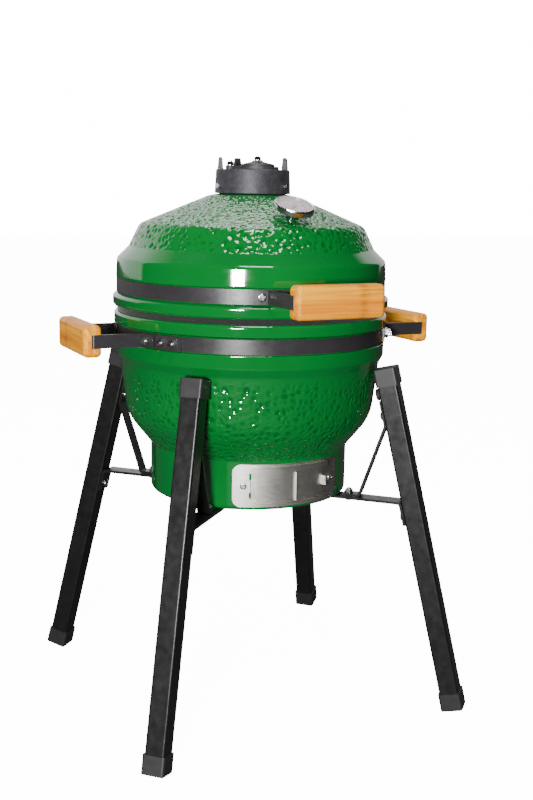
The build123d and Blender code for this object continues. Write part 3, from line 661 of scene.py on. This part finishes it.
def tube(name, points, radius, sides):
    """Round wire along points, closed at both ends; mm."""
    verts = []
    across = None
    for i, point in enumerate(points):
        ahead = points[min(i + 1, len(points) - 1)] - points[max(i - 1, 0)]
        along = ahead.normalized()
        if across is None:
            across = along.orthogonal().normalized()
        across = (across - along * across.dot(along)).normalized()
        other = along.cross(across)
        for k in range(sides):
            a = 2 * math.pi * k / sides
            verts.append((point + (across * math.cos(a) + other * math.sin(a)) * radius) * MM)
    faces = []
    for i in range(len(points) - 1):
        for k in range(sides):
            n = (k + 1) % sides
            faces.append((i * sides + k, i * sides + n, (i + 1) * sides + n, (i + 1) * sides + k))
    faces.append(tuple(reversed(range(sides))))
    faces.append(tuple(range((len(points) - 1) * sides, len(points) * sides)))
    mesh = bpy.data.meshes.new(name)
    mesh.from_pydata(verts, [], faces)
    mesh.polygons.foreach_set("use_smooth", [len(f) == 4 for f in faces])
    return link_mesh(name, mesh)


def spring(name, x_from, side):
    """Coils round the hinge bolt, with a straight leg that bears on the lower hinge plate."""
    centre = Vector((0, HINGE_Y, HINGE_Z))
    foot = Vector((x_from, SPRING_FOOT_Y, SPRING_FOOT_Z))
    points = []
    steps = SPRING_TURNS * 24
    for k in range(steps + 1):
        a = math.pi + side * 2 * math.pi * k / 24
        x = x_from + side * SPRING_PITCH * k / 24
        points.append(centre + Vector((x, SPRING_R * math.cos(a), SPRING_R * math.sin(a))))
    start = points[0]
    leg = [foot.lerp(start, k / 6) for k in range(6)]
    wire = tube(name, leg + points, SPRING_WIRE_R, 12)
    paint(wire, MATERIALS["bright_zinc"])
    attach(wire, "base")
    return wire


springs = [spring("spring_left", -SPRING_X, -1), spring("spring_right", SPRING_X, 1)]
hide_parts("hinge_springs")

# ---------------------------------------------------------------- softened edges

SHARP_NODES = [
    "lid_handle_bracket",
    "left_handle_bracket",
    "right_handle_bracket",
    "band_clamp_plates",
    "band_clamp_nuts",
    "side_handle_nuts",
    "brace_foot_nuts",
    "crossbar_upper",
    "crossbar_lower",
    "diagonal_braces",
    "lower_hinge_bracket",
    "upper_hinge_bracket",
    "lid_band",
    "base_band",
]
for node_name in SHARP_NODES:
    bevel = nodes[node_name].modifiers.new("softened", "BEVEL")
    bevel.width = 0.35 * MM
    bevel.segments = 2
    bevel.limit_method = "ANGLE"
    bevel.angle_limit = math.radians(40.0)

# ---------------------------------------------------------------- floor, light and surroundings


def level_way(degrees_right):
    """Level unit vector, so many degrees round to the right from the way to the camera."""
    a = math.radians(degrees_right)
    return toward_camera * math.cos(a) + camera_right * math.sin(a)


def make_floor():
    mesh = bpy.data.meshes.new("floor")
    reach = 14.0
    corners = [(-reach, -reach, 0), (reach, -reach, 0), (reach, reach, 0), (-reach, reach, 0)]
    mesh.from_pydata(corners, [], [(0, 1, 2, 3)])
    floor = link_mesh("floor", mesh)
    s = Shader("floor_white")
    seen = s.add("ShaderNodeLightPath").outputs["Is Camera Ray"]
    s.set(Base_Color=s.mix(seen, (0.04, 0.04, 0.04), (0.80, 0.80, 0.80)), Roughness=0.9)
    glow = s.range(seen, 0.0, 1.0, 0.0, FLOOR_GLOW)
    s.set(Emission_Color=(1.0, 1.0, 1.0), Emission_Strength=glow)
    paint(floor, s.material)


def softbox(name, degrees_right, rise, distance, width, height, power):
    """Area light aimed at the body, placed round to the camera's right and above level."""
    data = bpy.data.lights.new(name, "AREA")
    data.shape = "RECTANGLE"
    data.size = width
    data.size_y = height
    data.energy = power
    light = bpy.data.objects.new(name, data)
    bpy.context.scene.collection.objects.link(light)
    tilt = math.radians(rise)
    back = level_way(degrees_right) * math.cos(tilt) + Vector((0, 0, math.sin(tilt)))
    light.location = Vector((0, AXIS_Y * MM, 0.56)) + back * distance
    light.rotation_mode = "QUATERNION"
    light.rotation_quaternion = (-back).to_track_quat("-Z", "Y")


FLOOR_GLOW = 14.0
SKY_GLOW = 16.0
DIM = 0.02
# Studio walls as sectors of the horizon: middle, half width and edge in degrees, brightness.
WALLS = [
    (-139.0, 37.0, 2.0, 1.35),
    (163.0, 22.0, 5.0, 0.9),
]
WALL_HIGH_SHARE = 0.08
CEILING = 0.05


def surroundings():
    """Bright walls behind, a faint ceiling and dim elsewhere; the camera itself sees white."""
    world = bpy.data.worlds.new("studio")
    bpy.context.scene.world = world
    world.use_nodes = True
    tree = world.node_tree
    background = tree.nodes["Background"]
    background.inputs["Color"].default_value = (1, 1, 1, 1)
    way = tree.nodes.new("ShaderNodeTexCoord").outputs["Generated"]
    flat = tree.nodes.new("ShaderNodeVectorMath")
    flat.operation = "MULTIPLY"
    flat.inputs[1].default_value = (1, 1, 0)
    tree.links.new(way, flat.inputs[0])
    level = tree.nodes.new("ShaderNodeVectorMath")
    level.operation = "NORMALIZE"
    tree.links.new(flat.outputs[0], level.inputs[0])

    def add(total, part):
        node = tree.nodes.new("ShaderNodeMath")
        node.operation = "ADD"
        tree.links.new(total, node.inputs[0])
        tree.links.new(part, node.inputs[1])
        return node.outputs[0]

    def ramp(value, low, high, bright):
        node = tree.nodes.new("ShaderNodeMapRange")
        node.interpolation_type = "SMOOTHSTEP"
        tree.links.new(value, node.inputs["Value"])
        node.inputs["From Min"].default_value = low
        node.inputs["From Max"].default_value = high
        node.inputs["To Max"].default_value = bright
        return node.outputs["Result"]

    split = tree.nodes.new("ShaderNodeSeparateXYZ")
    tree.links.new(way, split.inputs[0])
    total = ramp(split.outputs["Z"], 0.55, 0.95, CEILING)
    fade = tree.nodes.new("ShaderNodeMapRange")
    tree.links.new(split.outputs["Z"], fade.inputs["Value"])
    fade.inputs["From Min"].default_value = 0.55
    fade.inputs["From Max"].default_value = 0.8
    fade.inputs["To Min"].default_value = 1.0
    fade.inputs["To Max"].default_value = WALL_HIGH_SHARE
    for middle, half, edge, bright in WALLS:
        dot = tree.nodes.new("ShaderNodeVectorMath")
        dot.operation = "DOT_PRODUCT"
        dot.inputs[1].default_value = level_way(middle)
        tree.links.new(level.outputs[0], dot.inputs[0])
        low = math.cos(math.radians(half + edge))
        high = math.cos(math.radians(half - edge))
        wall = tree.nodes.new("ShaderNodeMath")
        wall.operation = "MULTIPLY"
        tree.links.new(ramp(dot.outputs["Value"], low, high, bright), wall.inputs[0])
        tree.links.new(fade.outputs["Result"], wall.inputs[1])
        total = add(total, wall.outputs[0])
    base = tree.nodes.new("ShaderNodeMath")
    base.operation = "ADD"
    base.inputs[1].default_value = DIM
    tree.links.new(total, base.inputs[0])
    seen = tree.nodes.new("ShaderNodeLightPath").outputs["Is Camera Ray"]
    mix = tree.nodes.new("ShaderNodeMix")
    tree.links.new(seen, mix.inputs[0])
    tree.links.new(base.outputs[0], mix.inputs[2])
    mix.inputs[3].default_value = SKY_GLOW
    tree.links.new(mix.outputs[0], background.inputs["Strength"])


make_floor()
surroundings()
# Each softbox: degrees round to the camera's right, degrees above level, then distance,
# width and height in metres, and power in watts. Past 90 degrees it hangs behind the grill.
softbox("front_patch", -9.0, 3.4, 2.4, 0.40, 0.26, 100.0)
softbox("front_fill", 8.0, 64.0, 3.0, 1.0, 1.0, 55.0)
softbox("overhead", 0.0, 112.0, 2.4, 1.4, 1.4, 26.0)
